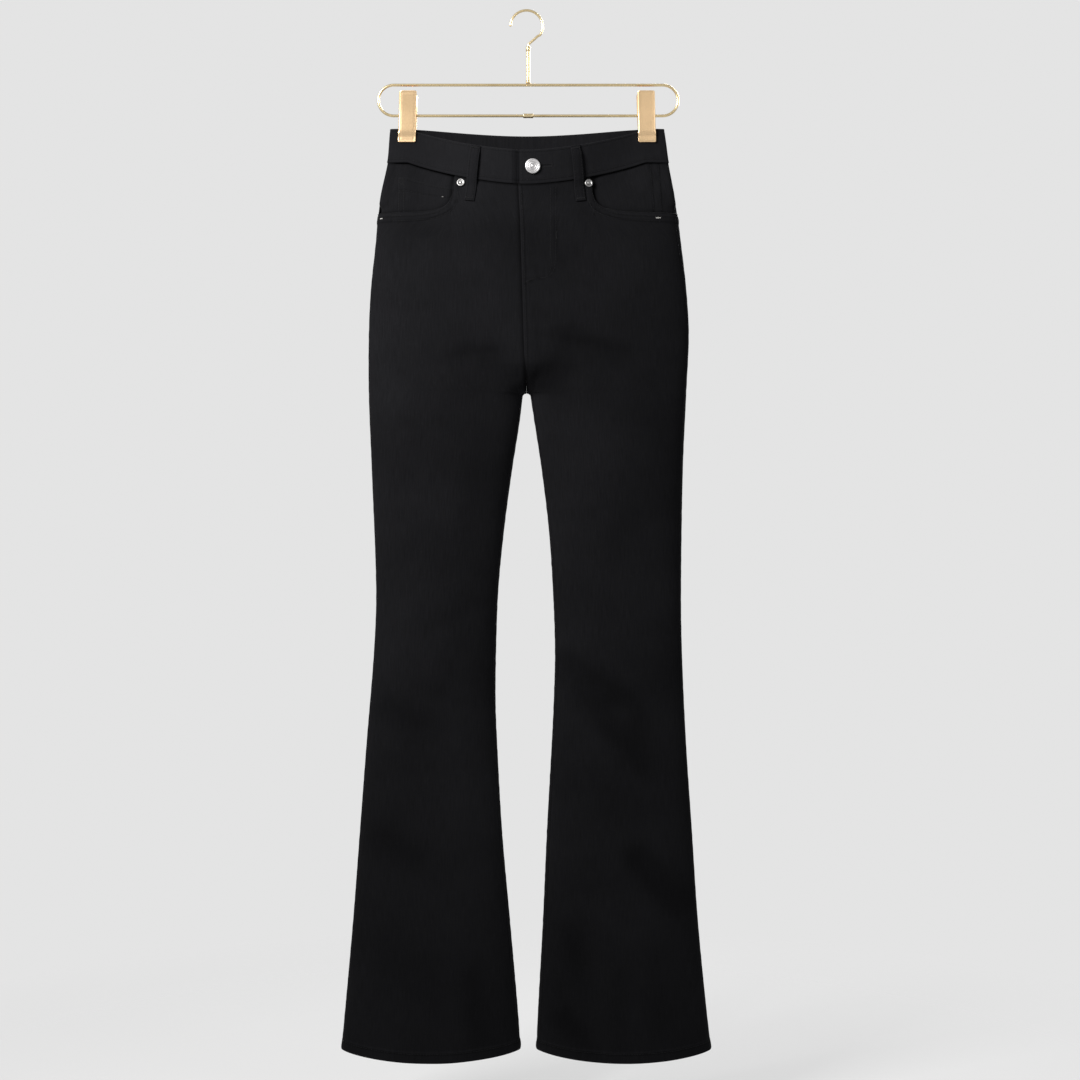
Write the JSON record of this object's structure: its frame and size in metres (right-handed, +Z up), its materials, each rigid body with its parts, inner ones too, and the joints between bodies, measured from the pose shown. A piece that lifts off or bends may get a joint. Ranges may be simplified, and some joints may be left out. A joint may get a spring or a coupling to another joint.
{
  "type": "bootcut jeans on a trouser hanger",
  "caption": "Black five-pocket bootcut jeans hanging flat from a gold-toned wire trouser hanger that grips the waistband with spring clips.",
  "frame": {"origin": "inside top of the hanger's hook, where the rail carries it", "axes": "+Z up, the jeans' front faces -Y, +X is the wearer's left"},
  "size_m": [0.4338, 0.0722, 1.2254],
  "materials": {
    "black_denim": "matt black twill denim",
    "silver_trim": "satin silver-toned metal",
    "gold_wire": "pale gold plated wire",
    "gold_clip": "satin brushed gold plate",
    "spring_steel": "plated spring wire"
  },
  "bodies": {
    "root": {"front_right": "black_denim", "front_left": "black_denim", "back_right": "black_denim", "back_left": "black_denim", "back_yoke_right": "black_denim", "back_yoke_left": "black_denim", "hip_facing_right": "black_denim", "hip_facing_left": "black_denim", "coin_pocket": "black_denim", "back_pocket_right": "black_denim", "back_pocket_left": "black_denim", "waistband": "black_denim", "belt_loop_front_right": "black_denim", "belt_loop_front_left": "black_denim", "belt_loop_back_right": "black_denim", "belt_loop_back_middle": "black_denim", "belt_loop_back_left": "black_denim", "button": "silver_trim", "rivet_right": "silver_trim", "rivet_left": "silver_trim", "hanger_wire": "gold_wire", "hanger_hook": "gold_wire", "hanger_stem": "gold_wire", "hanger_ferrule": "gold_wire", "clip_right_front": "gold_clip", "clip_right_back": "gold_clip", "clip_left_front": "gold_clip", "clip_left_back": "gold_clip", "clip_right_spring": "spring_steel", "clip_left_spring": "spring_steel"}
  },
  "joints": []
}
